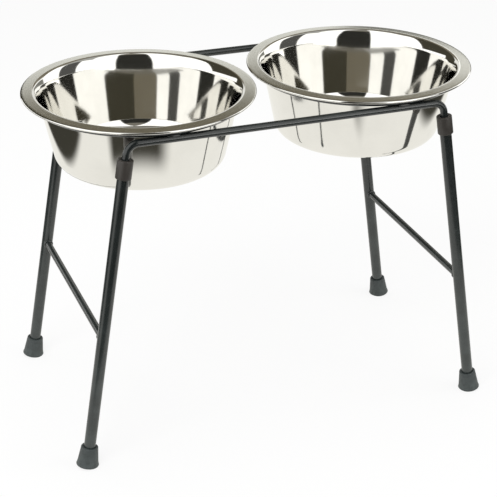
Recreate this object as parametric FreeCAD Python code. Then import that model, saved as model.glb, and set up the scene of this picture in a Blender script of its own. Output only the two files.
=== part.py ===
import FreeCAD, Part
import math
import os

# Raised double feeder: two pressed steel bowls hang by their rims in wire rings.
# The rings are welded on two bent rods, whose ends plug into two splayed leg frames.
# Millimetres. +Z is up, +X runs along the rods, -Y is the front.
# The origin is on the floor, under the middle of the stand.

# Bowls
RIM_DIAMETER = 250.0
RIM_GAP = 5.4            # space between the two rims
SHEET = 0.8              # thickness of the pressed steel
RIM_BEAD = 2.8           # diameter of the rolled edge
FLANGE_WIDTH = 12.2      # flat brushed rim, from the rolled edge to the shoulder
EDGE_RADIUS = 4.0        # tight rounding where the rim turns down, on the inside
EDGE_SLOPE = 37.5        # degrees from upright where that rounding ends
SHOULDER_RADIUS = 26.0   # wider rounding from there into the wall, on the inside
WALL_DRAFT = 12.3        # degrees from upright
CORNER_RADIUS = 14.5     # rounding from the wall into the flat base, on the inside
INSIDE_DEPTH = 81.6      # rim to the flat base, on the inside

# Rings and rods
RIM_OVERHANG = 10.6      # rim edge beyond the middle of the ring's wire
RING_WIRE = 8.0
RAIL_ROD = 8.0
RAIL_HEIGHT = 363.0      # floor to the middle of the rods
RAIL_REACH = 47.3        # bowl's middle to the corner of the rod
BEND_RADIUS = 13.0       # middle of the rod, at its corners
PIN_SHOW = 5.0           # straight rod that shows above the collar
PIN_DEPTH = 43.0         # rod inside the collar and the leg
RING_WELD_LENGTH = 14.0
RING_WELD_BEAD = 3.2     # diameter of each bead
RING_WELD_OFFSET = 2.9   # bead's middle beside the line where ring and rod meet

# Legs
LEG_SPLAY = 9.0          # degrees outwards, along the rods
LEG_TOE_OUT = 1.65       # degrees outwards, to the front or the rear
TUBE_WALL = 1.0
BRACE_ROD = 8.0
BRACE_HEIGHT = 150.0     # floor to the middle of the brace
BRACE_WELD_BEAD = 3.2    # diameter of the bead round each end

# Collars at the leg tops
COLLAR_LENGTH = 20.2
COLLAR_WALL = 2.0
COLLAR_CAP = 3.5
COLLAR_ROUNDING = 0.8

# Rubber feet
FOOT_HEIGHT = 22.5
FOOT_WALL = 2.9          # rubber beside the tube at the top edge
FOOT_TAPER = 2.1         # growth of the radius from the top edge to the skirt
FOOT_SKIRT = 0.9         # further growth of the radius at the skirt
FOOT_SKIRT_HEIGHT = 4.0
FOOT_SOLE = 5.0          # rubber under the tube
FOOT_ROUNDING = 1.0
FOOT_STAND = 0.6         # floor to the middle of the sole, which is pressed flat at its inner edge

# Clearances
SEAT_GAP = 0.3           # rim over the ring
WELD_GAP = 0.1           # ring over the rod, bridged by the beads
PIN_RUNNING_GAP = 0.1    # rod in the collar's bore, all round
PIN_CLEARANCE = 0.4      # rod inside the tube, at its tightest place
PUSH_GAP = 0.05          # tube in its collar and in its foot, all round

V = FreeCAD.Vector
UP = V(0, 0, 1)
ORIGIN = V(0, 0, 0)
LEFT, RIGHT = -1, 1
FRONT, REAR = -1, 1
SIDES = {"left": LEFT, "right": RIGHT}
ENDS = {"front": FRONT, "rear": REAR}

# Sizes and places that follow from the driving dimensions
rim_radius = RIM_DIAMETER / 2
bowl_x = (RIM_DIAMETER + RIM_GAP) / 2
ring_radius = rim_radius - RIM_OVERHANG
ring_height = RAIL_HEIGHT + (RAIL_ROD + RING_WIRE) / 2 + WELD_GAP
rim_height = ring_height + RING_WIRE / 2 + SEAT_GAP + SHEET
rail_y = ring_radius
corner_x = bowl_x + RAIL_REACH
splay = math.radians(LEG_SPLAY)
toe_out = math.radians(LEG_TOE_OUT)
edge_slope = math.radians(EDGE_SLOPE)
draft = math.radians(WALL_DRAFT)
bend_turn = math.pi / 2 - splay
bend_length = BEND_RADIUS * math.tan(bend_turn / 2)
collar_top = bend_length + PIN_SHOW
collar_middle = collar_top + COLLAR_LENGTH / 2
pin_length = collar_top + PIN_DEPTH
pin_radius = RAIL_ROD / 2
bore_radius = pin_radius + (pin_length - collar_middle) * math.tan(toe_out) + PIN_CLEARANCE
tube_radius = bore_radius + TUBE_WALL
collar_radius = tube_radius + PUSH_GAP + COLLAR_WALL
foot_top_radius = tube_radius + PUSH_GAP + FOOT_WALL
foot_skirt_radius = foot_top_radius + FOOT_TAPER
foot_base_radius = foot_skirt_radius + FOOT_SKIRT


def line(start, end):
    return Part.LineSegment(start, end).toShape()


def arc(start, middle, end):
    return Part.Arc(start, middle, end).toShape()


def turned(edges, origin, direction):
    """Solid turned from a closed outline in the XZ plane, stood on origin along direction."""
    face = Part.Face(Part.Wire(edges))
    solid = face.revolve(ORIGIN, UP, 360)
    solid.Placement = FreeCAD.Placement(origin, FreeCAD.Rotation(UP, direction))
    return solid


def round_bar(start, end, radius):
    run = end - start
    return Part.makeCylinder(radius, run.Length, start, run)


def outline(points):
    """Closed chain of straight edges through (radius, height) points."""
    corners = [V(radius, 0, height) for radius, height in points]
    return [line(a, b) for a, b in zip(corners, corners[1:] + corners[:1])]


# Leg geometry, the same for every corner of the stand

def pin_line(side, end):
    """Corner of the rod, and the way its end points down into the leg."""
    corner = V(side * corner_x, end * rail_y, RAIL_HEIGHT)
    return corner, V(side * math.sin(splay), 0, -math.cos(splay))


def leg_line(side, end):
    """Middle of the collar, and the way the leg runs down from it."""
    corner, pin_way = pin_line(side, end)
    leg_way = V(side * math.tan(splay), end * math.tan(toe_out), -1)
    return corner + pin_way * collar_middle, leg_way.normalize()


def leg_at(side, end, height):
    start, way = leg_line(side, end)
    return start + way * ((height - start.z) / way.z)


def sole(side, end):
    return leg_at(side, end, FOOT_STAND)


# Pieces

def bowl(side):
    def wall_normal(slope):
        return V(math.cos(slope), 0, -math.sin(slope))

    level = math.pi / 2
    flange_edge = V(rim_radius - FLANGE_WIDTH, 0, 0)
    edge_centre = flange_edge - UP * EDGE_RADIUS
    shoulder_centre = edge_centre + wall_normal(edge_slope) * (SHOULDER_RADIUS - EDGE_RADIUS)
    shoulder_end = shoulder_centre - wall_normal(draft) * SHOULDER_RADIUS
    corner_top = CORNER_RADIUS * (1 - math.sin(draft)) - INSIDE_DEPTH
    wall_run = (shoulder_end.z - corner_top) / math.cos(draft)
    corner_start = shoulder_end - V(math.sin(draft), 0, math.cos(draft)) * wall_run
    corner_centre = corner_start - wall_normal(draft) * CORNER_RADIUS

    def skin(offset):
        """Edges of one face of the sheet, from the flat rim to the middle of the base."""
        def on_arc(centre, radius, slope):
            return centre + wall_normal(slope) * radius

        def bend(centre, radius, first, last):
            slopes = (first, (first + last) / 2, last)
            return arc(*[on_arc(centre, radius, slope) for slope in slopes])

        edge = offset - EDGE_RADIUS
        shoulder = offset - SHOULDER_RADIUS
        corner = CORNER_RADIUS + offset
        wall_top = on_arc(shoulder_centre, shoulder, draft)
        wall_foot = on_arc(corner_centre, corner, draft)
        base_edge = on_arc(corner_centre, corner, level)
        return [
            bend(edge_centre, edge, level, edge_slope),
            bend(shoulder_centre, shoulder, edge_slope, draft),
            line(wall_top, wall_foot),
            bend(corner_centre, corner, draft, level),
            line(base_edge, V(0, 0, base_edge.z)),
        ]

    bead = RIM_BEAD / 2
    bead_centre = V(rim_radius - bead, 0, -bead)
    bead_inset = math.sqrt(bead ** 2 - (bead - SHEET) ** 2)
    bead_top = bead_centre + UP * bead
    bead_end = V(bead_centre.x - bead_inset, 0, -SHEET)
    bead_side = bead_centre + V(bead, 0, 0)
    rim = [
        line(flange_edge, bead_top),
        arc(bead_top, bead_side, bead_end),
        line(bead_end, flange_edge - UP * SHEET),
    ]
    inside, outside = skin(0), skin(SHEET)
    base = line(V(0, 0, -INSIDE_DEPTH), V(0, 0, -INSIDE_DEPTH - SHEET))
    edges = Part.sortEdges(rim + inside + outside + [base])[0]
    return turned(edges, V(side * bowl_x, 0, rim_height), UP)


def rail(end):
    """One rod, bent down at both ends into pins for the legs."""
    stations = []
    for side in (LEFT, RIGHT):
        corner, pin_way = pin_line(side, end)
        inwards = V(-side, 0, 0)
        bisector = (inwards + pin_way).normalize()
        to_centre = BEND_RADIUS / math.cos(bend_turn / 2)
        stations.append({
            "pin": corner + pin_way * pin_length,
            "bend_low": corner + pin_way * bend_length,
            "bend_middle": corner + bisector * (to_centre - BEND_RADIUS),
            "bend_high": corner + inwards * bend_length,
        })
    left, right = stations
    path = Part.Wire([
        line(left["pin"], left["bend_low"]),
        arc(left["bend_low"], left["bend_middle"], left["bend_high"]),
        line(left["bend_high"], right["bend_high"]),
        arc(right["bend_high"], right["bend_middle"], right["bend_low"]),
        line(right["bend_low"], right["pin"]),
    ])
    section = Part.Circle(left["pin"], left["bend_low"] - left["pin"], pin_radius).toShape()
    return path.makePipeShell([Part.Wire(section)], True, False)


def ring(side):
    """Wire ring with the weld beads that hold it on both rods."""
    middle = V(side * bowl_x, 0, ring_height)
    solid = Part.makeTorus(ring_radius, RING_WIRE / 2, middle, UP)
    bead_z = RAIL_HEIGHT + pin_radius + WELD_GAP / 2
    half = V(RING_WELD_LENGTH / 2, 0, 0)
    for end in ENDS.values():
        rod_middle = V(middle.x, end * rail_y, RAIL_HEIGHT)
        rod = round_bar(rod_middle - half * 2, rod_middle + half * 2, pin_radius)
        for offset in (-RING_WELD_OFFSET, RING_WELD_OFFSET):
            bead_middle = V(middle.x, end * rail_y + offset, bead_z)
            bead = round_bar(bead_middle - half, bead_middle + half, RING_WELD_BEAD / 2)
            solid = solid.fuse(bead.cut(rod))
    return solid


def leg(side, end):
    """Tube from the collar's cap down to the sole of the foot."""
    middle, way = leg_line(side, end)
    top = middle - way * (COLLAR_LENGTH / 2 - COLLAR_CAP)
    bottom = sole(side, end) - way * FOOT_SOLE
    return round_bar(top, bottom, tube_radius).cut(round_bar(top, bottom, bore_radius))


def brace(side):
    """Rod between the two legs of one side, coped and welded to the tubes."""
    front = leg_at(side, FRONT, BRACE_HEIGHT)
    rear = leg_at(side, REAR, BRACE_HEIGHT)
    solid = round_bar(front, rear, BRACE_ROD / 2)
    for here, there in ((front, rear), (rear, front)):
        inwards = (there - here).normalize()
        bead_middle = here + inwards * tube_radius
        solid = solid.fuse(Part.makeTorus(BRACE_ROD / 2, BRACE_WELD_BEAD / 2, bead_middle, inwards))
    for end in ENDS.values():
        middle, way = leg_line(side, end)
        solid = solid.cut(round_bar(middle, sole(side, end), tube_radius))
    return solid.removeSplitter()


def collar(side, end):
    """Plastic cap on the leg's top: a sleeve round the tube, and a bore for the rod's end."""
    middle, way = leg_line(side, end)
    low = -COLLAR_LENGTH / 2
    high = COLLAR_LENGTH / 2
    sleeve_radius = tube_radius + PUSH_GAP
    points = [
        (0, high - COLLAR_CAP),
        (sleeve_radius, high - COLLAR_CAP),
        (sleeve_radius, low),
        (collar_radius - COLLAR_ROUNDING, low),
        (collar_radius, low + COLLAR_ROUNDING),
        (collar_radius, high - COLLAR_ROUNDING),
        (collar_radius - COLLAR_ROUNDING, high),
        (0, high),
    ]
    solid = turned(outline(points), middle, way * -1)
    corner, pin_way = pin_line(side, end)
    bore = round_bar(corner + pin_way * bend_length, corner + pin_way * pin_length,
                     pin_radius + PIN_RUNNING_GAP)
    return solid.cut(bore)


def foot(side, end):
    """Tapered rubber ferrule, pressed flat where its inner edge stands on the floor."""
    middle, way = leg_line(side, end)
    socket_radius = tube_radius + PUSH_GAP
    points = [
        (0, 0),
        (foot_base_radius - FOOT_ROUNDING, 0),
        (foot_base_radius, FOOT_ROUNDING),
        (foot_skirt_radius, FOOT_SKIRT_HEIGHT),
        (foot_top_radius, FOOT_HEIGHT - FOOT_ROUNDING),
        (foot_top_radius - FOOT_ROUNDING, FOOT_HEIGHT),
        (socket_radius + FOOT_ROUNDING, FOOT_HEIGHT),
        (socket_radius, FOOT_HEIGHT - FOOT_ROUNDING),
        (socket_radius, FOOT_SOLE),
        (0, FOOT_SOLE),
    ]
    base = sole(side, end)
    solid = turned(outline(points), base, way * -1)
    reach = foot_base_radius * 2
    floor = Part.makeBox(reach * 2, reach * 2, reach, V(base.x - reach, base.y - reach, -reach))
    return solid.cut(floor)


def build():
    parts = {}
    for side_name, side in SIDES.items():
        parts[side_name + "_bowl"] = bowl(side)
        parts[side_name + "_ring"] = ring(side)
        parts[side_name + "_brace"] = brace(side)
    for end_name, end in ENDS.items():
        parts[end_name + "_rail"] = rail(end)
        for side_name, side in SIDES.items():
            place = end_name + "_" + side_name
            parts[place + "_leg"] = leg(side, end)
            parts[place + "_collar"] = collar(side, end)
            parts[place + "_foot"] = foot(side, end)
    return parts


def main():
    os.makedirs("parts", exist_ok=True)
    for name, shape in build().items():
        solids = shape.Solids
        if len(solids) != 1 or not shape.isValid():
            raise ValueError(name + " is not one sound solid")
        solids[0].exportStep("parts/" + name + ".step")


main()
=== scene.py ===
import math

import bmesh
import bpy
from bpy.props import FloatProperty, FloatVectorProperty, IntProperty, PointerProperty
from mathutils import Euler, Matrix, Vector

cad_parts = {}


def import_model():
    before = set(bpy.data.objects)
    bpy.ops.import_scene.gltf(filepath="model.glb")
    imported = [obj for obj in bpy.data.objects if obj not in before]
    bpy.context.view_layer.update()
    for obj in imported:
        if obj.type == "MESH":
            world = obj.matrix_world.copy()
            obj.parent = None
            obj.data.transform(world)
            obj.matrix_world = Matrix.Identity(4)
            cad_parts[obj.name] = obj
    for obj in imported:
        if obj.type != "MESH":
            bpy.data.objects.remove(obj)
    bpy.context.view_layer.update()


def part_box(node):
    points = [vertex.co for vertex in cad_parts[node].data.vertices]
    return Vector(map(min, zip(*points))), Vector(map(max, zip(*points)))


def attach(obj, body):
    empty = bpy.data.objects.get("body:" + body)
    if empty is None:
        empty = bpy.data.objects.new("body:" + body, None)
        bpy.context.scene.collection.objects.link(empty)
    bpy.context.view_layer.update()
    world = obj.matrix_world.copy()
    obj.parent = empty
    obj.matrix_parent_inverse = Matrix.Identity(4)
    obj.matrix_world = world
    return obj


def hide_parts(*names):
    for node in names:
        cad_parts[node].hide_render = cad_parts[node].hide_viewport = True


bl_info = {
    "name": "Raised Double Feeder",
    "version": (1, 0, 0),
    "blender": (4, 5, 0),
    "location": "View3D > Sidebar > Feeder",
    "description": "Models and finishes a raised feeder: two steel bowls on a black rod stand",
    "category": "Add Mesh",
}

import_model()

LEFT, RIGHT = -1, 1
FRONT, REAR = -1, 1
SIDES = {"left": LEFT, "right": RIGHT}
ENDS = {"front": FRONT, "rear": REAR}
UP = Vector((0, 0, 1))
BEND_AXIS = (0, 1, 0)       # of outlines and rods, which lie in XZ planes
FULL_TURN = math.tau
QUARTER_TURN = math.pi / 2
DEGREES_PER_RADIAN = math.degrees(1)
MERGE_DISTANCE = 1e-6
SHARP_ANGLE = math.radians(40)
WHITE = (1.0, 1.0, 1.0)

# Steps along the bowl's section
BASE_STEPS = 8
CORNER_STEPS = 14
WALL_STEPS = 10
SHOULDER_STEPS = 14
EDGE_STEPS = 8
RIM_STEPS = 4
ROLL_STEPS = 18
UNDER_RIM_STEPS = 3

# How finely the stand is divided
ROD_SEGMENTS = 24           # round a rod or wire
ROD_BEND_STEPS = 16         # along the corner of a rod
RING_STEPS = 144            # round a wire ring
WELD_SEGMENTS = 16          # round a weld between ring and rod, and along it
BEAD_SEGMENTS = 14          # round the section of a brace's weld
BEAD_STEPS = 28             # along that weld, round the brace
TUBE_SEGMENTS = 40          # round a leg tube
TURNED_STEPS = 48           # round a collar or a foot
ROUNDING_STEPS = 5          # along the rounded edges of collars and feet
FOOT_STEPS = 3              # along the sole and the side of a foot

# Sizes that follow from the frame
bowl_low, bowl_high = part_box("right_bowl")
ring_low, ring_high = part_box("right_ring")
rail_low, rail_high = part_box("rear_rail")
brace_low, brace_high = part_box("right_brace")
ROD_RADIUS = (rail_high.y - rail_low.y) / 2
RAIL_HEIGHT = rail_high.z - ROD_RADIUS


class BowlSizes(bpy.types.PropertyGroup):
    """Pressed steel bowls with a flat rim"""
    rim_radius: FloatProperty(
        name="Rim Radius", description="Middle of the bowl to the outside of the rolled edge",
        default=(bowl_high.x - bowl_low.x) / 2, unit="LENGTH")
    rim_height: FloatProperty(
        name="Rim Height", description="Floor to the top of the rim", default=bowl_high.z, unit="LENGTH")
    base_height: FloatProperty(
        name="Base Height", description="Floor to the underside of the bowl",
        default=bowl_low.z, unit="LENGTH")
    middle_x: FloatProperty(
        name="Middle", description="Middle of the stand to the middle of each bowl",
        default=(bowl_low.x + bowl_high.x) / 2, unit="LENGTH")
    sheet: FloatProperty(
        name="Sheet", description="Thickness of the steel", default=0.0008, unit="LENGTH")
    bead_radius: FloatProperty(
        name="Rolled Edge", description="Radius of the rolled edge", default=0.0014, unit="LENGTH")
    flange_width: FloatProperty(
        name="Flange Width", description="Flat brushed rim, with the rolled edge",
        default=0.0122, unit="LENGTH")
    rim_fall: FloatProperty(
        name="Rim Fall", description="Slope of the flat rim, down towards its edge",
        default=math.radians(3), unit="ROTATION")
    edge_radius: FloatProperty(
        name="Edge Radius", description="Tight rounding where the rim turns down",
        default=0.004, unit="LENGTH")
    edge_slope: FloatProperty(
        name="Edge Slope", description="Angle from upright where the tight rounding ends",
        default=math.radians(37.5), unit="ROTATION")
    shoulder_radius: FloatProperty(
        name="Shoulder Radius", description="Wider rounding from there into the wall",
        default=0.026, unit="LENGTH")
    wall_draft: FloatProperty(
        name="Wall Draft", description="Angle of the wall from upright",
        default=math.radians(12.3), unit="ROTATION")
    corner_radius: FloatProperty(
        name="Corner Radius", description="Rounding from the wall into the flat base",
        default=0.0145, unit="LENGTH")
    steps: IntProperty(
        name="Steps Round", description="Faces round the bowl", default=192)


class StandSizes(bpy.types.PropertyGroup):
    """Wire rings, bent rods, leg tubes, braces, collars and feet"""
    ring_radius: FloatProperty(
        name="Ring Radius", description="Middle of the bowl to the outside of the ring's wire",
        default=(ring_high.x - ring_low.x) / 2, unit="LENGTH")
    ring_wire: FloatProperty(
        name="Ring Wire", description="Radius of the ring's wire", default=0.004, unit="LENGTH")
    ring_top: FloatProperty(
        name="Ring Top", description="Floor to the top of the ring", default=ring_high.z, unit="LENGTH")
    weld_length: FloatProperty(
        name="Weld Length", description="Length of each bead between ring and rod",
        default=0.014, unit="LENGTH")
    weld_radius: FloatProperty(
        name="Weld Radius", description="Radius of each weld bead", default=0.0016, unit="LENGTH")
    weld_offset: FloatProperty(
        name="Weld Offset", description="Bead's middle beside the line where ring and rod meet",
        default=0.0029, unit="LENGTH")
    rod_radius: FloatProperty(
        name="Rod Radius", description="Radius of the bent rods", default=ROD_RADIUS, unit="LENGTH")
    rail_height: FloatProperty(
        name="Rod Height", description="Floor to the middle of the rods",
        default=RAIL_HEIGHT, unit="LENGTH")
    rail_y: FloatProperty(
        name="Rod Place", description="Middle of the stand to the middle of each rod",
        default=(rail_low.y + rail_high.y) / 2, unit="LENGTH")
    rail_reach: FloatProperty(
        name="Rod Reach", description="Middle of the stand to the outermost point of a rod",
        default=rail_high.x, unit="LENGTH")
    rail_bottom: FloatProperty(
        name="Rod Bottom", description="Floor to the lowest point of a rod's end",
        default=rail_low.z, unit="LENGTH")
    bend_radius: FloatProperty(
        name="Bend Radius", description="Middle of the rod at its corners", default=0.013, unit="LENGTH")
    pin_show: FloatProperty(
        name="Pin Shown", description="Straight rod above the collar", default=0.005, unit="LENGTH")
    splay: FloatProperty(
        name="Splay", description="Legs' angle outwards, along the rods",
        default=math.radians(9), unit="ROTATION")
    toe_out: FloatProperty(
        name="Toe Out", description="Legs' angle outwards, to the front or the rear",
        default=math.radians(1.65), unit="ROTATION")
    tube_radius: FloatProperty(
        name="Tube Radius", description="Radius of the leg tubes", default=0.00634, unit="LENGTH")
    tube_wall: FloatProperty(
        name="Tube Wall", description="Wall of the leg tubes", default=0.001, unit="LENGTH")
    brace_radius: FloatProperty(
        name="Brace Radius", description="Radius of the braces", default=0.004, unit="LENGTH")
    brace_height: FloatProperty(
        name="Brace Height", description="Floor to the middle of the braces",
        default=(brace_low.z + brace_high.z) / 2, unit="LENGTH")
    collar_length: FloatProperty(
        name="Collar Length", description="Length of the collars", default=0.0202, unit="LENGTH")
    collar_radius: FloatProperty(
        name="Collar Radius", description="Radius of the collars", default=0.00839, unit="LENGTH")
    collar_cap: FloatProperty(
        name="Collar Cap", description="Thickness of the collar's top", default=0.0035, unit="LENGTH")
    collar_bore: FloatProperty(
        name="Collar Bore", description="Radius of the hole for the rod's end",
        default=0.0045, unit="LENGTH")
    collar_rounding: FloatProperty(
        name="Collar Rounding", description="Rounding of the collar's edges",
        default=0.0008, unit="LENGTH")
    foot_height: FloatProperty(
        name="Foot Height", description="Height of the rubber feet", default=0.0225, unit="LENGTH")
    foot_top_radius: FloatProperty(
        name="Foot Top", description="Radius at the top edge", default=0.00929, unit="LENGTH")
    foot_skirt_radius: FloatProperty(
        name="Foot Skirt", description="Radius where the skirt starts", default=0.01139, unit="LENGTH")
    foot_base_radius: FloatProperty(
        name="Foot Base", description="Radius at the sole", default=0.01229, unit="LENGTH")
    foot_skirt_height: FloatProperty(
        name="Skirt Height", description="Height of the skirt", default=0.004, unit="LENGTH")
    foot_sole: FloatProperty(
        name="Sole", description="Rubber under the tube", default=0.005, unit="LENGTH")
    foot_rounding: FloatProperty(
        name="Foot Rounding", description="Rounding of the foot's edges", default=0.001, unit="LENGTH")
    foot_stand: FloatProperty(
        name="Foot Stand", description="Floor to the middle of the sole, which is pressed flat",
        default=0.0006, unit="LENGTH")


class Finishes(bpy.types.PropertyGroup):
    """Colours of the finishes"""
    steel: FloatVectorProperty(
        name="Steel", description="Polished steel", default=(0.85, 0.84, 0.81), subtype="COLOR")
    steel_haze: FloatVectorProperty(
        name="Steel Haze", description="Steel where wiping left a haze",
        default=(0.80, 0.79, 0.76), subtype="COLOR")
    rim_dark: FloatVectorProperty(
        name="Rim Grooves", description="Grooves of the brushed rim",
        default=(0.54, 0.54, 0.49), subtype="COLOR")
    rim_light: FloatVectorProperty(
        name="Rim Ridges", description="Ridges of the brushed rim",
        default=(0.78, 0.77, 0.72), subtype="COLOR")
    coat: FloatVectorProperty(
        name="Coat", description="Black powder coat", default=(0.009, 0.012, 0.012), subtype="COLOR")
    coat_worn: FloatVectorProperty(
        name="Coat Rubbed", description="Powder coat where it is rubbed",
        default=(0.018, 0.022, 0.022), subtype="COLOR")
    # Paler tone low on the stand: the coat and the rubber ease into it towards the floor
    paler_low: FloatVectorProperty(
        name="Dust", description="Dust low on the stand", default=(0.12, 0.15, 0.145), subtype="COLOR")
    collar: FloatVectorProperty(
        name="Collar", description="Moulded plastic", default=(0.046, 0.041, 0.036), subtype="COLOR")
    collar_dark: FloatVectorProperty(
        name="Collar Shade", description="Plastic between the mould's grain",
        default=(0.030, 0.026, 0.023), subtype="COLOR")
    rubber: FloatVectorProperty(
        name="Rubber", description="Grey rubber", default=(0.064, 0.075, 0.075), subtype="COLOR")
    rubber_dark: FloatVectorProperty(
        name="Rubber Shade", description="Darker rubber", default=(0.042, 0.050, 0.050), subtype="COLOR")


class StageSizes(bpy.types.PropertyGroup):
    """Camera, floor and the tent of panels that the steel reflects"""
    camera_place: FloatVectorProperty(
        name="Camera", description="Place of the camera",
        default=(-0.5555, -1.4287, 0.9412), subtype="TRANSLATION")
    camera_yaw: FloatProperty(
        name="Yaw", description="Camera's turn to the right",
        default=math.radians(21.22), unit="ROTATION")
    camera_pitch: FloatProperty(
        name="Pitch", description="Camera's tilt down", default=math.radians(26.91), unit="ROTATION")
    camera_roll: FloatProperty(
        name="Roll", description="Camera's roll", default=math.radians(0.76), unit="ROTATION")
    camera_lens: FloatProperty(
        name="Lens", description="Focal length in millimetres on a 36 mm sensor",
        default=108.09, unit="CAMERA")
    floor_half: FloatProperty(
        name="Floor", description="Half the width of the floor", default=12.0, unit="LENGTH")
    tent_radius: FloatProperty(
        name="Tent", description="Radius of the tent round the stand", default=2.0, unit="LENGTH")
    tent_middle: FloatProperty(
        name="Tent Middle", description="Floor to the middle of the tent", default=0.3, unit="LENGTH")


# Shader graphs

class Socket:
    """A node's output that takes part in Python expressions, which add Math nodes."""

    def __init__(self, graph, socket):
        self.graph = graph
        self.socket = socket

    def __add__(self, other):
        return self.graph.math("ADD", self, other)

    def __radd__(self, other):
        return self.graph.math("ADD", other, self)

    def __sub__(self, other):
        return self.graph.math("SUBTRACT", self, other)

    def __rsub__(self, other):
        return self.graph.math("SUBTRACT", other, self)

    def __mul__(self, other):
        return self.graph.math("MULTIPLY", self, other)

    def __rmul__(self, other):
        return self.graph.math("MULTIPLY", other, self)

    def __truediv__(self, other):
        return self.graph.math("DIVIDE", self, other)

    def __rtruediv__(self, other):
        return self.graph.math("DIVIDE", other, self)

    def __pow__(self, other):
        return self.graph.math("POWER", self, other)

    def __rpow__(self, other):
        return self.graph.math("POWER", other, self)

    def absolute(self):
        return self.graph.math("ABSOLUTE", self)

    def highest(self, other):
        return self.graph.math("MAXIMUM", self, other)


# Sockets of a Mix node that blends two colours
MIX_FACTOR, MIX_FIRST, MIX_SECOND = 0, 6, 7
MIX_RESULT = 2


class Graph:
    """Adds nodes to a shader's node tree."""

    def __init__(self, owner):
        owner.use_nodes = True
        self.tree = owner.node_tree
        self.tree.nodes.clear()

    def node(self, kind, settings=None, inputs=None, output=0):
        """A new node with its settings, then the values or links of its sockets."""
        made = self.tree.nodes.new(kind)
        for name, value in (settings or {}).items():
            setattr(made, name, value)
        for name, value in (inputs or {}).items():
            if isinstance(value, Socket):
                self.tree.links.new(value.socket, made.inputs[name])
            else:
                made.inputs[name].default_value = value
        return Socket(self, made.outputs[output]) if made.outputs else None

    def outputs(self, kind, names, inputs=None):
        """Several outputs of one new node."""
        made = self.node(kind, inputs=inputs).socket.node
        return [Socket(self, made.outputs[name]) for name in names]

    def math(self, operation, first, second=0.0):
        return self.node("ShaderNodeMath", {"operation": operation}, {0: first, 1: second})

    def place(self):
        """Object coordinates, which are the stand's own metres."""
        return self.node("ShaderNodeTexCoord", output="Object")

    def split(self, vector):
        """The three numbers of a vector."""
        return self.outputs("ShaderNodeSeparateXYZ", "XYZ", {0: vector})

    def join(self, x, y, z):
        return self.node("ShaderNodeCombineXYZ", inputs={0: x, 1: y, 2: z})

    def bearing(self, x, y):
        """Degrees round the Z axis: 0 in front, 90 at the right."""
        return self.math("ARCTAN2", x, 0 - y) * DEGREES_PER_RADIAN

    def noise(self, vector, scale, detail=2.0, roughness=0.5):
        return self.node("ShaderNodeTexNoise", inputs={
            "Vector": vector, "Scale": scale, "Detail": detail, "Roughness": roughness})

    def ramp(self, value, low, high, start=0.0, end=1.0):
        """Value eased from start to end as it goes from low to high."""
        return self.node("ShaderNodeMapRange", {"interpolation_type": "SMOOTHSTEP"}, {
            "Value": value, "From Min": low, "From Max": high, "To Min": start, "To Max": end})

    def blend(self, factor, first, second):
        """Colour between two colours."""
        return self.node("ShaderNodeMix", {"data_type": "RGBA"}, {
            MIX_FACTOR: factor, MIX_FIRST: colour(first), MIX_SECOND: colour(second)}, output=MIX_RESULT)

    def bump(self, height, strength, distance):
        return self.node("ShaderNodeBump", inputs={
            "Height": height, "Strength": strength, "Distance": distance})

    def glow(self, tone):
        """Shader that gives off a tone as it is written."""
        return self.node("ShaderNodeEmission", inputs={"Color": tone, "Strength": 1.0})

    def mix(self, factor, first, second):
        """Shader between two shaders."""
        return self.node("ShaderNodeMixShader", inputs={0: factor, 1: first, 2: second})

    def show(self, shader, output="ShaderNodeOutputMaterial"):
        """Puts a shader on the surface."""
        self.node(output, inputs={"Surface": shader})

    def surface(self, inputs):
        """Principled surface of a material."""
        self.show(self.node("ShaderNodeBsdfPrincipled", inputs=inputs))

    def shown_rays(self):
        """Rays from the camera, off gloss and through glass, which all show the backdrop."""
        return self.outputs("ShaderNodeLightPath", (
            "Is Camera Ray", "Is Glossy Ray", "Is Transmission Ray"))


def colour(value):
    """RGB as the RGBA that a colour socket takes."""
    return value if isinstance(value, Socket) else (*value[:3], 1.0)


def shared_material(name, fill):
    """The finish of that name, made by fill the first time."""
    finish_name = "feeder_" + name
    material = bpy.data.materials.get(finish_name)
    if material is None:
        material = bpy.data.materials.new(finish_name)
        fill(Graph(material))
    return material


def finishes():
    return bpy.context.scene.feeder_finishes


def bowl_sizes():
    return bpy.context.scene.feeder_bowls


def stand_sizes():
    return bpy.context.scene.feeder_stand


# Finishes

def fill_polished_steel(graph):
    """Mirror polish with a light haze from wiping and fine scuffs."""
    tones = finishes()
    place = graph.place()
    haze = graph.noise(place, scale=16, detail=4, roughness=0.6)
    scuffs = graph.noise(place, scale=420, detail=3, roughness=0.7)
    hazy = graph.ramp(haze, low=0.35, high=0.75)
    graph.surface({
        "Base Color": graph.blend(hazy, tones.steel, tones.steel_haze),
        "Metallic": 1.0,
        "Roughness": 0.035 + 0.03 * haze + 0.02 * scuffs,
    })


def fill_brushed_rim(graph):
    """Fine grooves that run round the rim, with a soft sheen."""
    tones = finishes()
    place = graph.place()
    x, y = graph.split(place)[:2]
    across = x.absolute() - bowl_sizes().middle_x
    radius = (across * across + y * y) ** 0.5
    grooves_per_metre = 5200
    streak_scale = 16
    round_rim = graph.join(
        radius * grooves_per_metre, across / radius * streak_scale, y / radius * streak_scale)
    grooves = graph.noise(round_rim, scale=1.0, detail=3, roughness=0.6)
    sheen = graph.noise(place, scale=24)
    ridges = graph.ramp(grooves, low=0.3, high=0.7)
    graph.surface({
        "Base Color": graph.blend(ridges, tones.rim_dark, tones.rim_light),
        "Metallic": 1.0,
        "Roughness": 0.10 + 0.07 * grooves + 0.03 * sheen,
        "Anisotropic": 0.7,
        "Normal": graph.bump(grooves, strength=0.12, distance=0.0001),
    })


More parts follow.
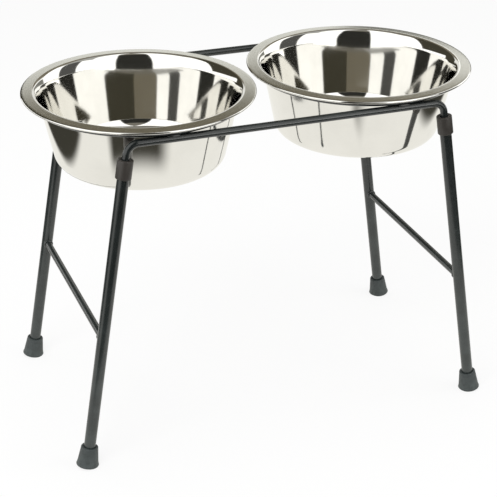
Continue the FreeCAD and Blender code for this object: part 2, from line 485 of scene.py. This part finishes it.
def fill_powder_coat(graph):
    """Satin black with a fine peel, rubbed in places, and paler in patches towards the floor."""
    tones = finishes()
    place = graph.place()
    height = graph.split(place)[2]
    peel = graph.noise(place, scale=900)
    cloud = graph.noise(place, scale=45, detail=4, roughness=0.6)
    rubbed = graph.ramp(cloud, low=0.4, high=0.8)
    coat = graph.blend(rubbed, tones.coat, tones.coat_worn)
    # Base colour eased up to a fifth of the way to the paler tone below 0.32 m, most at the floor, in
    # cloudy patches
    paler_low = graph.ramp(height, low=0.02, high=0.32, start=0.21, end=0.0)
    paler_low = paler_low * graph.ramp(cloud, low=0.3, high=0.7, start=0.5, end=1.0)
    graph.surface({
        "Base Color": graph.blend(paler_low, coat, tones.paler_low),
        "Specular IOR Level": 0.7,
        "Roughness": 0.17 + 0.08 * cloud,
        "Normal": graph.bump(peel, strength=0.12, distance=0.0002),
    })


def fill_collar_plastic(graph):
    """Moulded plastic with a fine grain."""
    tones = finishes()
    place = graph.place()
    grain = graph.noise(place, scale=1400, detail=3)
    cloud = graph.noise(place, scale=120, detail=3)
    graph.surface({
        "Base Color": graph.blend(cloud, tones.collar_dark, tones.collar),
        "Specular IOR Level": 0.4,
        "Roughness": 0.28 + 0.16 * cloud,
        "Normal": graph.bump(grain, strength=0.18, distance=0.0002),
    })


def fill_foot_rubber(graph):
    """Matt rubber, cloudy and a little dusty at the sole."""
    tones = finishes()
    place = graph.place()
    height = graph.split(place)[2]
    grain = graph.noise(place, scale=1600, detail=3)
    cloud = graph.noise(place, scale=140, detail=4, roughness=0.65)
    rubber = graph.blend(graph.ramp(cloud, low=0.3, high=0.7), tones.rubber_dark, tones.rubber)
    paler_low = graph.ramp(height, low=0.0, high=0.02, start=0.25, end=0.0) * cloud
    graph.surface({
        "Base Color": graph.blend(paler_low, rubber, tones.paler_low),
        "Specular IOR Level": 0.4,
        "Roughness": 0.42 + 0.2 * cloud,
        "Normal": graph.bump(grain, strength=0.25, distance=0.0002),
    })


def polished_steel():
    return shared_material("polished_steel", fill_polished_steel)


def brushed_rim():
    return shared_material("brushed_rim", fill_brushed_rim)


def powder_coat():
    return shared_material("powder_coat", fill_powder_coat)


def collar_plastic():
    return shared_material("collar_plastic", fill_collar_plastic)


def foot_rubber():
    return shared_material("foot_rubber", fill_foot_rubber)


# Mesh tools

class Pen:
    """Draws an outline in the XZ plane: straight runs are extruded, bends are spun."""

    def __init__(self, mesh, radius, height):
        self.mesh = mesh
        self.tip = mesh.verts.new((radius, 0, height))

    def line(self, radius, height, steps=1):
        """Straight run in equal steps."""
        start = self.tip.co.copy()
        end = Vector((radius, 0, height))
        for step in range(steps):
            made = bmesh.ops.extrude_vert_indiv(self.mesh, verts=[self.tip])
            self.tip = made["verts"][0]
            self.tip.co = start.lerp(end, (step + 1) / steps)

    def bend(self, centre, turn, steps):
        """Turns about centre, clockwise as seen from the front."""
        made = bmesh.ops.spin(
            self.mesh, geom=[self.tip], cent=centre, axis=BEND_AXIS, angle=turn, steps=steps)
        self.tip = made["geom_last"][0]


def turn_outline(mesh, steps):
    """Turns the whole outline round the Z axis into a closed skin."""
    bmesh.ops.spin(
        mesh, geom=mesh.verts[:] + mesh.edges[:], cent=(0, 0, 0), axis=UP,
        angle=FULL_TURN, steps=steps, use_merge=True)
    tidy(mesh)


def tidy(mesh):
    """Merges doubles, then turns the faces outwards."""
    bmesh.ops.remove_doubles(mesh, verts=mesh.verts, dist=MERGE_DISTANCE)
    bmesh.ops.recalc_face_normals(mesh, faces=mesh.faces)


def stand_along(origin, direction):
    """Matrix that stands the Z axis on origin along direction."""
    turn = UP.rotation_difference(direction).to_matrix().to_4x4()
    return Matrix.Translation(origin) @ turn


def ring_loop(mesh, matrix, radius, segments):
    """Circle of edges as the section of a rod."""
    made = bmesh.ops.create_circle(mesh, segments=segments, radius=radius, matrix=matrix)
    verts = made["verts"]
    return verts + list({edge for vert in verts for edge in vert.link_edges})


def run_on(mesh, loop, offset):
    """Extrudes a section straight on."""
    edges = [part for part in loop if isinstance(part, bmesh.types.BMEdge)]
    made = bmesh.ops.extrude_edge_only(mesh, edges=edges)["geom"]
    verts = [part for part in made if isinstance(part, bmesh.types.BMVert)]
    bmesh.ops.translate(mesh, verts=verts, vec=offset)
    return verts + [part for part in made if isinstance(part, bmesh.types.BMEdge)
                    and all(vert in verts for vert in part.verts)]


def bend_on(mesh, loop, centre, turn):
    """Spins a section on round the corner of a rod."""
    made = bmesh.ops.spin(
        mesh, geom=loop, cent=centre, axis=BEND_AXIS, angle=turn, steps=ROD_BEND_STEPS)
    return made["geom_last"]


def finish_piece(mesh, name, node, body, materials):
    """Turns the mesh into the piece that stands for a CAD node and rides on its body."""
    data = bpy.data.meshes.new(name)
    mesh.to_mesh(data)
    mesh.free()
    for material in materials:
        data.materials.append(material)
    data.shade_smooth()
    data.set_sharp_from_angle(angle=SHARP_ANGLE)
    piece = bpy.data.objects.new(name, data)
    bpy.context.scene.collection.objects.link(piece)
    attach(piece, body)
    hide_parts(node)


# Leg geometry

class LegLine:
    """Where one leg of the stand runs, and the end of the rod that it plugs on."""

    def __init__(self, side, end):
        sizes = stand_sizes()
        drop = sizes.rail_height - sizes.rail_bottom - sizes.rod_radius * math.sin(sizes.splay)
        self.pin_length = drop / math.cos(sizes.splay)
        pin_out = self.pin_length * math.sin(sizes.splay) + sizes.rod_radius * math.cos(sizes.splay)
        corner_x = sizes.rail_reach - pin_out
        self.bend_turn = QUARTER_TURN - sizes.splay
        self.bend_length = sizes.bend_radius * math.tan(self.bend_turn / 2)
        self.corner = Vector((side * corner_x, end * sizes.rail_y, sizes.rail_height))
        self.pin_way = Vector((side * math.sin(sizes.splay), 0, -math.cos(sizes.splay)))
        collar_middle = self.bend_length + sizes.pin_show + sizes.collar_length / 2
        self.collar = self.corner + self.pin_way * collar_middle
        self.way = Vector((side * math.tan(sizes.splay), end * math.tan(sizes.toe_out), -1)).normalized()

    def at(self, height):
        """Point of the leg's middle line at a height above the floor."""
        return self.collar + self.way * ((height - self.collar.z) / self.way.z)


def corners():
    """Name, body and leg line of each corner of the stand."""
    for end_name, end in ENDS.items():
        for side_name, side in SIDES.items():
            yield end_name + "_" + side_name, side_name + "_leg_frame", LegLine(side, end)


# Pieces

class FEEDER_OT_bowls(bpy.types.Operator):
    """Model both steel bowls"""
    bl_idname = "feeder.bowls"
    bl_label = "Bowls"

    def execute(self, context):
        sizes = bowl_sizes()
        for name, side in SIDES.items():
            mesh = bmesh.new()
            self.draw_outline(mesh)
            turn_outline(mesh, sizes.steps)
            self.mark_rim(mesh)
            place = Vector((side * sizes.middle_x, 0, sizes.rim_height))
            bmesh.ops.translate(mesh, verts=mesh.verts, vec=place)
            finish_piece(mesh, name + "_bowl_shell", name + "_bowl", name + "_dish",
                         [polished_steel(), brushed_rim()])
        return {"FINISHED"}

    def draw_outline(self, mesh):
        """Outline of the sheet, from the middle of the base up the inside and down the outside."""
        sizes = bowl_sizes()
        sheet = sizes.sheet
        draft = sizes.wall_draft
        slope = sizes.edge_slope
        depth = sizes.rim_height - sizes.base_height - sheet

        def outwards(angle):
            """Way out of the sheet where it leans that far from upright."""
            return Vector((math.cos(angle), 0, -math.sin(angle)))

        flange = Vector((sizes.rim_radius - sizes.flange_width, 0, 0))
        edge = flange - UP * sizes.edge_radius
        shoulder = edge + outwards(slope) * (sizes.shoulder_radius - sizes.edge_radius)
        wall_top = shoulder - outwards(draft) * sizes.shoulder_radius
        corner_top = sizes.corner_radius * (1 - math.sin(draft)) - depth
        wall_run = (wall_top.z - corner_top) / math.cos(draft)
        wall_foot = wall_top - Vector((math.sin(draft), 0, math.cos(draft))) * wall_run
        corner = wall_foot - outwards(draft) * sizes.corner_radius
        outer_wall = wall_foot + outwards(draft) * sheet

        fall = sizes.rim_fall
        rim_normal = outwards(fall - QUARTER_TURN)
        rim_top = edge + rim_normal * sizes.edge_radius
        rim_under = edge + rim_normal * (sizes.edge_radius - sheet)
        bead_x = sizes.rim_radius - sizes.bead_radius
        rim_end_x = bead_x + rim_normal.x * sizes.bead_radius
        rim_end = Vector((rim_end_x, 0, rim_top.z - (rim_end_x - rim_top.x) * math.tan(fall)))
        bead = rim_end - rim_normal * sizes.bead_radius
        bead_turn = QUARTER_TURN + math.pi + math.asin(1 - sheet / sizes.bead_radius)

        pen = Pen(mesh, 0, -depth)
        pen.line(corner.x, -depth, BASE_STEPS)
        pen.bend(corner, draft - QUARTER_TURN, CORNER_STEPS)
        pen.line(wall_top.x, wall_top.z, WALL_STEPS)
        pen.bend(shoulder, slope - draft, SHOULDER_STEPS)
        pen.bend(edge, QUARTER_TURN - slope + fall, EDGE_STEPS)
        pen.line(rim_end.x, rim_end.z, RIM_STEPS)
        pen.bend(bead, bead_turn, ROLL_STEPS)
        pen.line(rim_under.x, rim_under.z, UNDER_RIM_STEPS)
        pen.bend(edge, slope - QUARTER_TURN - fall, EDGE_STEPS)
        pen.bend(shoulder, draft - slope, SHOULDER_STEPS)
        pen.line(outer_wall.x, outer_wall.z, WALL_STEPS)
        pen.bend(corner, QUARTER_TURN - draft, CORNER_STEPS)
        pen.line(0, -depth - sheet, BASE_STEPS)

    def mark_rim(self, mesh):
        """Gives the flat rim its own material."""
        sizes = bowl_sizes()
        inner = sizes.rim_radius - sizes.flange_width
        outer = sizes.rim_radius - sizes.bead_radius
        upwards = 0.99
        rim_material = 1
        for face in mesh.faces:
            if face.normal.z > upwards and inner < face.calc_center_median().xy.length < outer:
                face.material_index = rim_material


class FEEDER_OT_rings(bpy.types.Operator):
    """Model the wire rings with the weld beads that hold them"""
    bl_idname = "feeder.rings"
    bl_label = "Rings"

    def execute(self, context):
        sizes = stand_sizes()
        middle_x = bowl_sizes().middle_x
        upright = Matrix.Rotation(QUARTER_TURN, 4, "X")
        for name, side in SIDES.items():
            mesh = bmesh.new()
            beside = Matrix.Translation((sizes.ring_radius - sizes.ring_wire, 0, 0))
            ring_loop(mesh, beside @ upright, sizes.ring_wire, ROD_SEGMENTS)
            turn_outline(mesh, RING_STEPS)
            place = Vector((side * middle_x, 0, sizes.ring_top - sizes.ring_wire))
            bmesh.ops.translate(mesh, verts=mesh.verts, vec=place)
            for end in ENDS.values():
                self.add_welds(mesh, side * middle_x, end)
            finish_piece(mesh, name + "_ring_wire", name + "_ring", "top_frame",
                         [powder_coat()])
        return {"FINISHED"}

    def add_welds(self, mesh, x, end):
        """Two long beads where the ring lies on a rod."""
        sizes = stand_sizes()
        bead_z = sizes.rail_height + sizes.rod_radius
        along = Matrix.Rotation(QUARTER_TURN, 4, "Y")
        stretch = Matrix.Diagonal((sizes.weld_length / 2, sizes.weld_radius, sizes.weld_radius, 1))
        for offset in (-sizes.weld_offset, sizes.weld_offset):
            place = Matrix.Translation((x, end * sizes.rail_y + offset, bead_z))
            bmesh.ops.create_uvsphere(
                mesh, u_segments=WELD_SEGMENTS, v_segments=WELD_SEGMENTS, radius=1,
                matrix=place @ stretch @ along)


class FEEDER_OT_rails(bpy.types.Operator):
    """Model the two bent rods"""
    bl_idname = "feeder.rails"
    bl_label = "Rods"

    def execute(self, context):
        for name, end in ENDS.items():
            mesh = bmesh.new()
            self.sweep(mesh, end)
            bmesh.ops.holes_fill(mesh, edges=mesh.edges)
            tidy(mesh)
            finish_piece(mesh, name + "_rail_rod", name + "_rail", "top_frame",
                         [powder_coat()])
        return {"FINISHED"}

    def sweep(self, mesh, end):
        """One round section from the left pin over the rod to the right pin."""
        sizes = stand_sizes()
        left, right = LegLine(LEFT, end), LegLine(RIGHT, end)
        straight = left.pin_length - left.bend_length
        below = UP * sizes.bend_radius
        left_high = left.corner + Vector((left.bend_length, 0, 0))
        right_high = right.corner - Vector((right.bend_length, 0, 0))
        start = left.corner + left.pin_way * left.pin_length
        loop = ring_loop(mesh, stand_along(start, left.pin_way), sizes.rod_radius, ROD_SEGMENTS)
        loop = run_on(mesh, loop, left.pin_way * -straight)
        loop = bend_on(mesh, loop, left_high - below, left.bend_turn)
        loop = run_on(mesh, loop, right_high - left_high)
        loop = bend_on(mesh, loop, right_high - below, right.bend_turn)
        run_on(mesh, loop, right.pin_way * straight)


class FEEDER_OT_legs(bpy.types.Operator):
    """Model the four leg tubes"""
    bl_idname = "feeder.legs"
    bl_label = "Legs"

    def execute(self, context):
        sizes = stand_sizes()
        for place, body, line in corners():
            top = line.collar - line.way * (sizes.collar_length / 2 - sizes.collar_cap)
            bottom = line.at(sizes.foot_stand) - line.way * sizes.foot_sole
            mesh = bmesh.new()
            bmesh.ops.create_cone(
                mesh, segments=TUBE_SEGMENTS, radius1=sizes.tube_radius, radius2=sizes.tube_radius,
                depth=(bottom - top).length, matrix=stand_along((top + bottom) / 2, line.way))
            tidy(mesh)
            bmesh.ops.solidify(mesh, geom=mesh.faces[:], thickness=sizes.tube_wall)
            finish_piece(mesh, place + "_leg_tube", place + "_leg", body, [powder_coat()])
        return {"FINISHED"}


class FEEDER_OT_braces(bpy.types.Operator):
    """Model the brace between the legs of each side, with a weld bead at each end"""
    bl_idname = "feeder.braces"
    bl_label = "Braces"

    def execute(self, context):
        sizes = stand_sizes()
        for name, side in SIDES.items():
            front = LegLine(side, FRONT).at(sizes.brace_height)
            rear = LegLine(side, REAR).at(sizes.brace_height)
            along = (rear - front).normalized()
            inset = along * (sizes.tube_radius - sizes.tube_wall / 2)
            mesh = bmesh.new()
            loop = ring_loop(mesh, stand_along(front + inset, along), sizes.brace_radius, ROD_SEGMENTS)
            run_on(mesh, loop, rear - front - inset * 2)
            bmesh.ops.holes_fill(mesh, edges=mesh.edges)
            for here, inwards in ((front, along), (rear, -along)):
                self.add_bead(mesh, here + inwards * sizes.tube_radius, inwards)
            tidy(mesh)
            finish_piece(mesh, name + "_brace_rod", name + "_brace", name + "_leg_frame",
                         [powder_coat()])
        return {"FINISHED"}

    def add_bead(self, mesh, place, inwards):
        """Ring of weld round the end of the brace."""
        sizes = stand_sizes()
        upright = Matrix.Translation((sizes.brace_radius, 0, 0)) @ Matrix.Rotation(QUARTER_TURN, 4, "X")
        stand = stand_along(place, inwards)
        loop = ring_loop(mesh, stand @ upright, sizes.weld_radius, BEAD_SEGMENTS)
        bmesh.ops.spin(
            mesh, geom=loop, cent=place, axis=inwards, angle=FULL_TURN, steps=BEAD_STEPS, use_merge=True)


class FEEDER_OT_collars(bpy.types.Operator):
    """Model the plastic collars on the legs' tops"""
    bl_idname = "feeder.collars"
    bl_label = "Collars"

    def execute(self, context):
        for place, body, line in corners():
            mesh = bmesh.new()
            self.draw_outline(mesh)
            turn_outline(mesh, TURNED_STEPS)
            bmesh.ops.transform(mesh, matrix=stand_along(line.collar, -line.way), verts=mesh.verts)
            finish_piece(mesh, place + "_collar_cap", place + "_collar", body,
                         [collar_plastic()])
        return {"FINISHED"}

    def draw_outline(self, mesh):
        """Sleeve round the tube, and a top with a rounded bore."""
        sizes = stand_sizes()
        high = sizes.collar_length / 2
        under_cap = high - sizes.collar_cap
        rounding = sizes.collar_rounding
        wide = sizes.collar_radius - rounding
        lip = sizes.collar_bore + rounding
        pen = Pen(mesh, sizes.collar_bore, under_cap)
        pen.line(sizes.tube_radius, under_cap)
        pen.line(sizes.tube_radius, -high)
        pen.line(wide, -high)
        pen.bend((wide, 0, rounding - high), -QUARTER_TURN, ROUNDING_STEPS)
        pen.line(sizes.collar_radius, high - rounding)
        pen.bend((wide, 0, high - rounding), -QUARTER_TURN, ROUNDING_STEPS)
        pen.line(lip, high)
        pen.bend((lip, 0, high - rounding), -QUARTER_TURN, ROUNDING_STEPS)
        pen.line(sizes.collar_bore, under_cap)


class FEEDER_OT_feet(bpy.types.Operator):
    """Model the tapered rubber feet, pressed flat on the floor"""
    bl_idname = "feeder.feet"
    bl_label = "Feet"

    def execute(self, context):
        sizes = stand_sizes()
        for place, body, line in corners():
            mesh = bmesh.new()
            self.draw_outline(mesh)
            turn_outline(mesh, TURNED_STEPS)
            sole = line.at(sizes.foot_stand)
            bmesh.ops.transform(mesh, matrix=stand_along(sole, -line.way), verts=mesh.verts)
            self.press_flat(mesh)
            finish_piece(mesh, place + "_foot_ferrule", place + "_foot", body,
                         [foot_rubber()])
        return {"FINISHED"}

    def draw_outline(self, mesh):
        """Tapered ferrule on a skirt, with a socket for the tube."""
        sizes = stand_sizes()
        rounding = sizes.foot_rounding
        high = sizes.foot_height
        socket = sizes.tube_radius
        sole_edge = sizes.foot_base_radius - rounding
        top_edge = sizes.foot_top_radius - rounding
        lip = socket + rounding
        pen = Pen(mesh, 0, 0)
        pen.line(sole_edge, 0, FOOT_STEPS)
        pen.bend((sole_edge, 0, rounding), -QUARTER_TURN, ROUNDING_STEPS)
        pen.line(sizes.foot_skirt_radius, sizes.foot_skirt_height)
        pen.line(sizes.foot_top_radius, high - rounding, FOOT_STEPS)
        pen.bend((top_edge, 0, high - rounding), -QUARTER_TURN, ROUNDING_STEPS)
        pen.line(lip, high)
        pen.bend((lip, 0, high - rounding), -QUARTER_TURN, ROUNDING_STEPS)
        pen.line(socket, sizes.foot_sole)
        pen.line(0, sizes.foot_sole)

    def press_flat(self, mesh):
        """Cuts off what would reach into the floor."""
        cut = bmesh.ops.bisect_plane(
            mesh, geom=mesh.verts[:] + mesh.edges[:] + mesh.faces[:],
            plane_co=(0, 0, 0), plane_no=UP, clear_inner=True)["geom_cut"]
        bmesh.ops.holes_fill(mesh, edges=[part for part in cut if isinstance(part, bmesh.types.BMEdge)])
        tidy(mesh)


# Stage

AMBIENT = 0.55              # world's light on the stand, against 1 for its white backdrop

# Paper of the floor, and its tones in the steel
PAPER = (0.9, 0.9, 0.89)
PAPER_GLOSS = (0.95, 0.94, 0.89)
PAPER_EDGE = (0.05, 0.048, 0.038)
PAPER_WHITENESS = 0.84      # share of plain white that the camera sees, over the paper's own shading

# Dark edges of the paper in the steel: the two distances between which each one fades, in metres
LEFT_WAY = (-0.942, 0.335)
LEFT_EDGE = (0.57, 0.605)   # from the middle of the stand along the left way
LEFT_EDGE_START = (-0.035, -0.005)  # along Y, and dark only behind it
RIGHT_WAY = (0.928, -0.371)
RIGHT_EDGE = (0.61, 0.66)   # from the middle of the stand along the right way
ROUND_EDGE = (0.37, 0.42)   # from the middle of the left bowl
FRONT_EDGE = (-0.50, -0.46)  # along Y, and dark in front of it

# Bearings from the left bowl between which those edges fade, in degrees
AHEAD_FROM = (-58, -48)     # of the round edge and the front edge
ROUND_EDGE_TO = (2, 24)

# Panels of the tent, later ones over earlier ones: azimuth from and to (0 in front, 90 at the right),
# elevation from and to, all in degrees, and the tone
TENT_DARK = (0.03, 0.03, 0.026)
TENT_WHITE = (1.45, 1.45, 1.42)
TENT_PANELS = (
    (121, 190, -95, 95, (0.20, 0.18, 0.135)),
    (-190, -112, -95, 95, (0.058, 0.054, 0.038)),
    (61, 89, -95, 95, (0.095, 0.095, 0.09)),
    (-190, 190, 57, 95, (0.20, 0.19, 0.16)),
    (-112, -37, -95, 57, TENT_WHITE),
    (-95, -37, 50, 95, TENT_WHITE),
    (7, 61, -95, 48, TENT_WHITE),
    (7, 43, 40, 95, TENT_WHITE),
    (89, 121, -95, 95, TENT_WHITE),
    (43, 121, 47, 95, (0.42, 0.42, 0.40)),
    (-157, -112, -95, 12.8, TENT_WHITE),
    (121, 190, 5, 23.2, (0.90, 0.90, 0.86)),
    (121, 150, 16.5, 23.2, (1.3, 1.3, 1.26)),
    (121, 152, 5, 16.5, (0.22, 0.22, 0.20)),
    (121, 155, 23.2, 29, (0.38, 0.36, 0.31)),
    (9, 36, 0, 13, (3.6, 3.6, 3.5)),
)
PANEL_SOFTNESS = 1.2        # half the width of a panel's soft edge, in degrees
TENT_SEGMENTS = 96

# Lamps: name, place, width and power in watts
LAMPS = (
    ("key", (-1.2, -1.0, 1.9), 1.2, 24.0),
    ("fill", (1.6, -0.8, 1.5), 1.4, 10.0),
    ("top", (0.0, 0.4, 2.2), 1.6, 14.0),
)
LAMP_TARGET = Vector((0, 0, 0.25))


class FEEDER_OT_stage(bpy.types.Operator):
    """Set up the camera, the floor, the lamps and the panels round the stand"""
    bl_idname = "feeder.stage"
    bl_label = "Stage"

    def execute(self, context):
        scene = context.scene
        scene.view_settings.view_transform = "Standard"
        self.add_camera(scene)
        self.fill_world(scene)
        self.add_floor(scene)
        self.add_tent(scene)
        self.add_lamps(scene)
        return {"FINISHED"}

    def add_camera(self, scene):
        sizes = scene.feeder_stage
        camera = bpy.data.objects.new("camera", bpy.data.cameras.new("camera"))
        camera.data.lens = sizes.camera_lens
        turn = Euler((QUARTER_TURN - sizes.camera_pitch, 0, -sizes.camera_yaw)).to_matrix().to_4x4()
        roll = Matrix.Rotation(sizes.camera_roll, 4, "Z")
        camera.matrix_world = Matrix.Translation(sizes.camera_place) @ turn @ roll
        scene.collection.objects.link(camera)
        scene.camera = camera

    def fill_world(self, scene):
        """Plain white light all round, and a white background."""
        scene.world = bpy.data.worlds.new("studio")
        graph = Graph(scene.world)
        camera, glossy, through = graph.shown_rays()
        light = graph.node("ShaderNodeBackground", inputs={"Color": colour(WHITE), "Strength": AMBIENT})
        backdrop = graph.node("ShaderNodeBackground", inputs={"Color": colour(WHITE), "Strength": 1.0})
        shown = camera.highest(glossy).highest(through)
        graph.show(graph.mix(shown, light, backdrop), "ShaderNodeOutputWorld")

    def add_floor(self, scene):
        material = bpy.data.materials.new("floor_paper")
        self.fill_floor(Graph(material))
        mesh = bmesh.new()
        bmesh.ops.create_grid(mesh, x_segments=1, y_segments=1, size=scene.feeder_stage.floor_half)
        self.link_stage(scene, "floor", mesh, material)

    def fill_floor(self, graph):
        """Pale paper: white to the camera with a soft shadow, and with dark edges in the steel."""
        camera, glossy, through = graph.shown_rays()
        x, y = graph.split(graph.place())[:2]
        away = x + bowl_sizes().middle_x
        bearing = graph.bearing(away, y)
        ahead = graph.ramp(bearing, *AHEAD_FROM)
        left = graph.ramp(x * LEFT_WAY[0] + y * LEFT_WAY[1], *LEFT_EDGE) * graph.ramp(y, *LEFT_EDGE_START)
        right = graph.ramp(x * RIGHT_WAY[0] + y * RIGHT_WAY[1], *RIGHT_EDGE)
        round_bowl = graph.ramp((away * away + y * y) ** 0.5, *ROUND_EDGE)
        round_bowl = round_bowl * ahead * graph.ramp(bearing, *ROUND_EDGE_TO, 1, 0)
        front = graph.ramp(y, *FRONT_EDGE, 1, 0) * ahead
        edges = left.highest(right).highest(round_bowl).highest(front)
        mirrored = graph.blend(edges, PAPER_GLOSS, PAPER_EDGE)
        tone = graph.blend(glossy, WHITE, mirrored)
        paper = graph.node("ShaderNodeBsdfDiffuse", inputs={"Color": colour(PAPER)})
        shown = (camera * PAPER_WHITENESS).highest(glossy).highest(through)
        graph.show(graph.mix(shown, paper, graph.glow(tone)))

    def add_tent(self, scene):
        """Round tent of light and dark panels, seen only in the gloss of the stand."""
        sizes = scene.feeder_stage
        material = bpy.data.materials.new("tent_panels")
        material.cycles.emission_sampling = "NONE"
        self.fill_tent(Graph(material), sizes)
        mesh = bmesh.new()
        bmesh.ops.create_uvsphere(
            mesh, u_segments=TENT_SEGMENTS, v_segments=TENT_SEGMENTS // 2, radius=sizes.tent_radius)
        bmesh.ops.translate(mesh, verts=mesh.verts, vec=UP * sizes.tent_middle)
        tent = self.link_stage(scene, "tent", mesh, material)
        tent.visible_camera = False
        tent.visible_diffuse = False
        tent.visible_shadow = False

    def fill_tent(self, graph, sizes):
        """Glowing panels, placed by azimuth and elevation from the middle of the tent."""
        x, y, z = graph.split(graph.place())
        azimuth = graph.bearing(x, y)
        level = (z - sizes.tent_middle) / sizes.tent_radius
        elevation = graph.math("ARCSINE", level) * DEGREES_PER_RADIAN

        def after(angle, start):
            return graph.ramp(angle, start - PANEL_SOFTNESS, start + PANEL_SOFTNESS)

        def before(angle, end):
            return graph.ramp(angle, end - PANEL_SOFTNESS, end + PANEL_SOFTNESS, 1, 0)

        tone = TENT_DARK
        for left, right, low, high, panel_tone in TENT_PANELS:
            across = after(azimuth, left) * before(azimuth, right)
            panel = across * after(elevation, low) * before(elevation, high)
            tone = graph.blend(panel, tone, panel_tone)
        graph.show(graph.glow(tone))

    def add_lamps(self, scene):
        """Large soft lamps above the stand, which the steel doesn't mirror."""
        for name, place, width, power in LAMPS:
            lamp = bpy.data.objects.new(name, bpy.data.lights.new(name, "AREA"))
            lamp.data.size = width
            lamp.data.energy = power
            lamp.location = place
            lamp.rotation_euler = (LAMP_TARGET - lamp.location).to_track_quat("-Z", "Y").to_euler()
            lamp.visible_glossy = False
            scene.collection.objects.link(lamp)

    def link_stage(self, scene, name, mesh, material):
        """Turns the mesh into a piece of the stage, which isn't part of the feeder."""
        data = bpy.data.meshes.new(name)
        mesh.to_mesh(data)
        mesh.free()
        data.materials.append(material)
        stage = bpy.data.objects.new(name, data)
        scene.collection.objects.link(stage)
        return stage


class FEEDER_PT_panel(bpy.types.Panel):
    """Lists the feeder's pieces and the stage"""
    bl_label = "Raised Feeder"
    bl_idname = "FEEDER_PT_panel"
    bl_space_type = "VIEW_3D"
    bl_region_type = "UI"
    bl_category = "Feeder"

    def draw(self, context):
        for operator in OPERATORS:
            self.layout.operator(operator.bl_idname)


OPERATORS = (
    FEEDER_OT_bowls, FEEDER_OT_rings, FEEDER_OT_rails, FEEDER_OT_legs,
    FEEDER_OT_braces, FEEDER_OT_collars, FEEDER_OT_feet, FEEDER_OT_stage,
)
GROUPS = {
    "feeder_bowls": BowlSizes, "feeder_stand": StandSizes,
    "feeder_finishes": Finishes, "feeder_stage": StageSizes,
}


def register():
    for item in (*GROUPS.values(), *OPERATORS, FEEDER_PT_panel):
        bpy.utils.register_class(item)
    for name, group in GROUPS.items():
        setattr(bpy.types.Scene, name, PointerProperty(type=group))


def unregister():
    for name in GROUPS:
        delattr(bpy.types.Scene, name)
    for item in reversed((*GROUPS.values(), *OPERATORS, FEEDER_PT_panel)):
        bpy.utils.unregister_class(item)


def main():
    """Models every piece and sets the stage."""
    register()
    bpy.ops.feeder.bowls()
    bpy.ops.feeder.rings()
    bpy.ops.feeder.rails()
    bpy.ops.feeder.legs()
    bpy.ops.feeder.braces()
    bpy.ops.feeder.collars()
    bpy.ops.feeder.feet()
    bpy.ops.feeder.stage()


if __name__ == "__main__":
    main()
